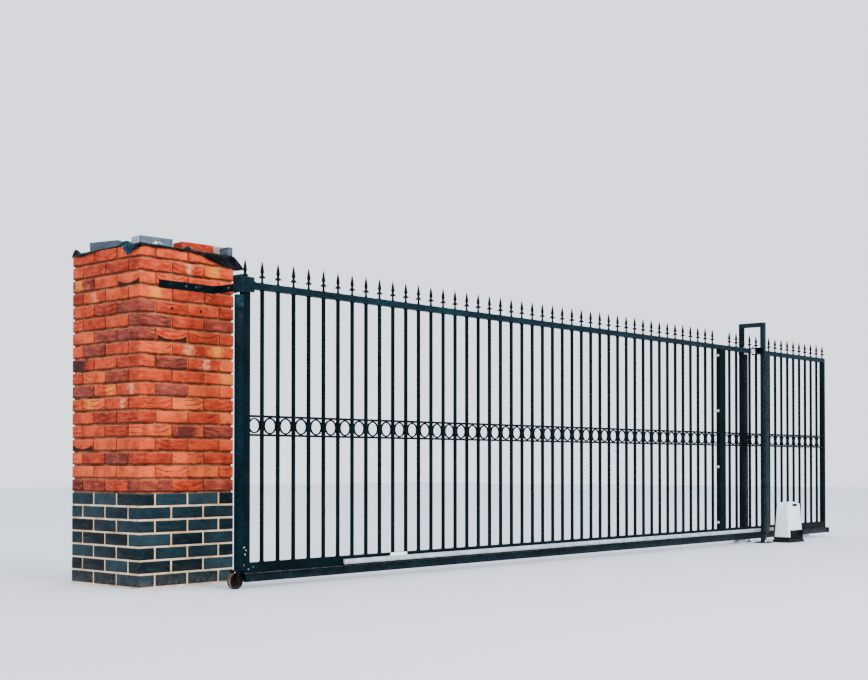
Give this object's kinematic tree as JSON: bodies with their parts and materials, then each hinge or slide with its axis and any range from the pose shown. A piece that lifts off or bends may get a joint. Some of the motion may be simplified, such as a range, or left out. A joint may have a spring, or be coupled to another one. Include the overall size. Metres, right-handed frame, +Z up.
{
  "type": "sliding_driveway_gate",
  "caption": "Cantilever sliding driveway gate of round bars with rings and spear finials, with its brick pier, guide portal, rack, drive and end wheel",
  "frame": {"origin": "underside of the front guide post's base plate, on the post's axis, at ground level", "axes": "+X along the leaf in its opening direction, +Y across the leaf from the drive's side to the pier's side, +Z up"},
  "size_m": [7.867, 1.352, 2.0199],
  "materials": {
    "paint": "semi-gloss",
    "stone": "matt fired clay and mortar",
    "sheet": "thin polythene, slightly shiny",
    "rubber": "matt",
    "nylon": "smooth",
    "zinc": "galvanised",
    "black_plastic": "matt",
    "pale_plastic": "satin",
    "wheel_iron": "rusty tread, black sides"
  },
  "bodies": {
    "fixed_parts": {"pier_plinth": "stone", "pier_shaft": "stone", "cover_sheet": "sheet", "loose_blue_bricks": "stone", "loose_red_brick": "stone", "loose_pale_brick": "stone", "loose_grey_brick": "stone", "catcher_strap": "paint", "top_catcher": "paint", "guide_post_front": "paint", "guide_post_rear": "paint", "portal_head": "paint", "post_edge_front": "rubber", "post_edge_rear": "rubber", "roller_bracket_front": "paint", "roller_bracket_rear": "paint", "guide_roller_rear": "nylon", "carriage_front": "zinc", "carriage_rear": "zinc", "drive_base": "black_plastic", "drive_cover": "pale_plastic", "drive_panel": "black_plastic"},
    "leaf": {"top_rail": "paint", "bottom_rail": "paint", "track_beam": "paint", "leading_upright": "paint", "joint_uprights": "paint", "tail_upright": "paint", "main_bars_panel": "paint", "tail_bars_panel": "paint", "upper_flat": "paint", "lower_flat": "paint", "main_rings": "paint", "tail_rings": "paint", "main_finials": "paint", "tail_finials": "paint", "gear_rack": "zinc", "rack_bosses": "zinc", "limit_magnet": "pale_plastic", "leading_edge": "rubber", "corner_box": "paint", "wheel_fork": "paint", "tail_buffer": "rubber"},
    "roller": {"guide_roller_front": "nylon"},
    "wheel": {"end_wheel": "wheel_iron"}
  },
  "joints": [
    {"name": "leaf_slide", "type": "slide", "parent": "fixed_parts", "child": "leaf", "axis": [1, 0, 0], "range_m": [0, 5.05]},
    {"name": "end_wheel_spin", "type": "hinge", "parent": "leaf", "child": "wheel", "pos_m": [-5.986, 0.106, 0.046], "axis": [0, 1, 0], "continuous": true},
    {"name": "guide_roller_spin", "type": "hinge", "parent": "fixed_parts", "child": "roller", "pos_m": [-0.065, 0.065, 1.7185], "axis": [0, 0, 1], "continuous": true}
  ]
}
